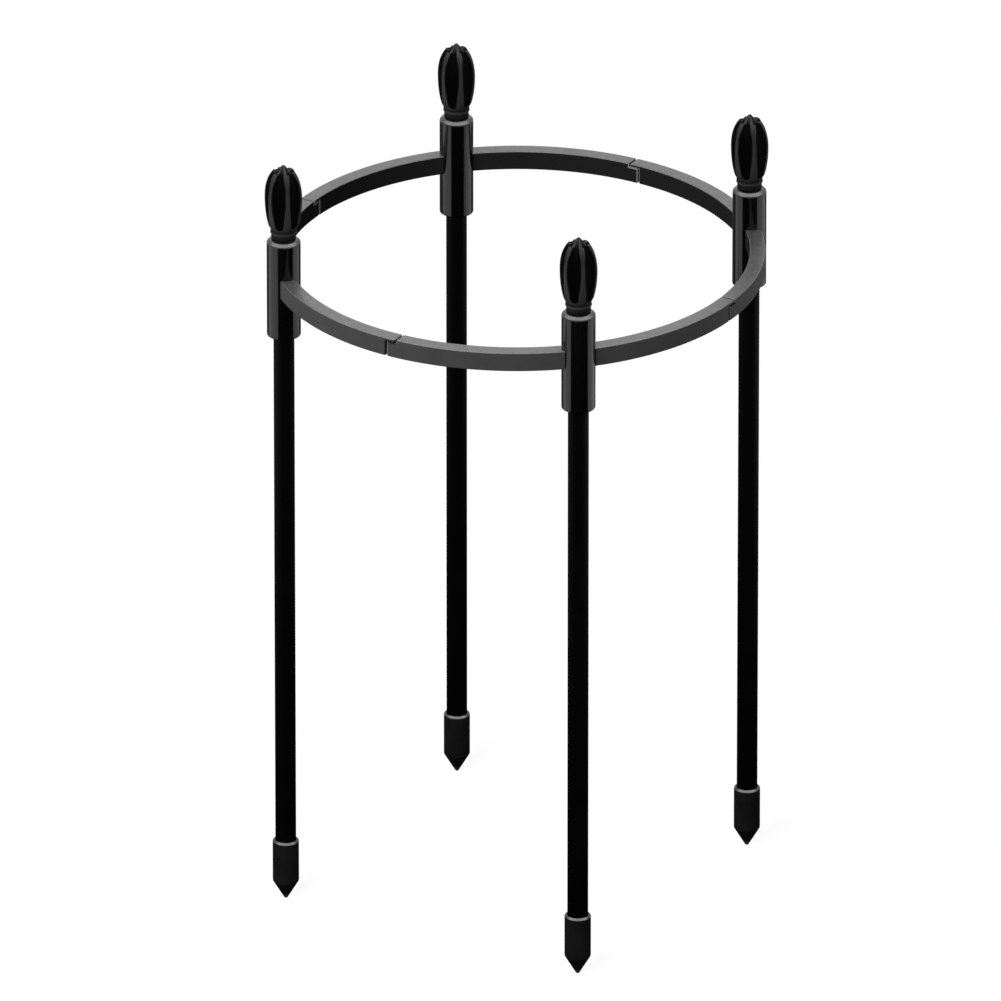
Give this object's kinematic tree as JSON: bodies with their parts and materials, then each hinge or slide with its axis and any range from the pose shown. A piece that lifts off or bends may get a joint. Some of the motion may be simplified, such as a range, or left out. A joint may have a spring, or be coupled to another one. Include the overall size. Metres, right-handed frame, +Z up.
{
  "type": "climbing plant support",
  "caption": "Ring of hooked quarters carried on coated steel stakes with spike caps below and ribbed bud finials above, to hold up a climbing plant.",
  "frame": {"origin": "on the ring's axis, at the height of the four spike tips", "axes": "+Z up along the ring's axis and the stakes; the posts stand on +X, +Y, -X and -Y, called east, north, west and south"},
  "size_m": [0.3946, 0.3972, 0.6207],
  "materials": {
    "ring_plastic": "black, satin, moulded",
    "finial_plastic": "black, satin, moulded",
    "coat_plastic": "black, smooth, extruded over the tube",
    "tube_steel": "plain welded tube, hidden",
    "cap_plastic": "black, satin, moulded"
  },
  "bodies": {
    "ring": {"ring_quarter_east": "ring_plastic", "ring_quarter_north": "ring_plastic", "ring_quarter_west": "ring_plastic", "ring_quarter_south": "ring_plastic"},
    "leg_east": {"stake_coat_east": "coat_plastic", "stake_tube_east": "tube_steel", "spike_cap_east": "cap_plastic"},
    "leg_north": {"stake_coat_north": "coat_plastic", "stake_tube_north": "tube_steel", "spike_cap_north": "cap_plastic"},
    "leg_west": {"stake_coat_west": "coat_plastic", "stake_tube_west": "tube_steel", "spike_cap_west": "cap_plastic"},
    "leg_south": {"stake_coat_south": "coat_plastic", "stake_tube_south": "tube_steel", "spike_cap_south": "cap_plastic"},
    "finial_east": {"finial_east": "finial_plastic"},
    "finial_north": {"finial_north": "finial_plastic"},
    "finial_west": {"finial_west": "finial_plastic"},
    "finial_south": {"finial_south": "finial_plastic"}
  },
  "joints": [
    {"name": "leg_east_pull", "type": "slide", "parent": "ring", "child": "leg_east", "axis": [0, 0, -1], "range_m": [0, 0.055]},
    {"name": "leg_north_pull", "type": "slide", "parent": "ring", "child": "leg_north", "axis": [0, 0, -1], "range_m": [0, 0.055]},
    {"name": "leg_west_pull", "type": "slide", "parent": "ring", "child": "leg_west", "axis": [0, 0, -1], "range_m": [0, 0.055]},
    {"name": "leg_south_pull", "type": "slide", "parent": "ring", "child": "leg_south", "axis": [0, 0, -1], "range_m": [0, 0.055]},
    {"name": "finial_east_lift", "type": "slide", "parent": "ring", "child": "finial_east", "axis": [0, 0, 1], "range_m": [0, 0.035]},
    {"name": "finial_north_lift", "type": "slide", "parent": "ring", "child": "finial_north", "axis": [0, 0, 1], "range_m": [0, 0.035]},
    {"name": "finial_west_lift", "type": "slide", "parent": "ring", "child": "finial_west", "axis": [0, 0, 1], "range_m": [0, 0.035]},
    {"name": "finial_south_lift", "type": "slide", "parent": "ring", "child": "finial_south", "axis": [0, 0, 1], "range_m": [0, 0.035]}
  ]
}
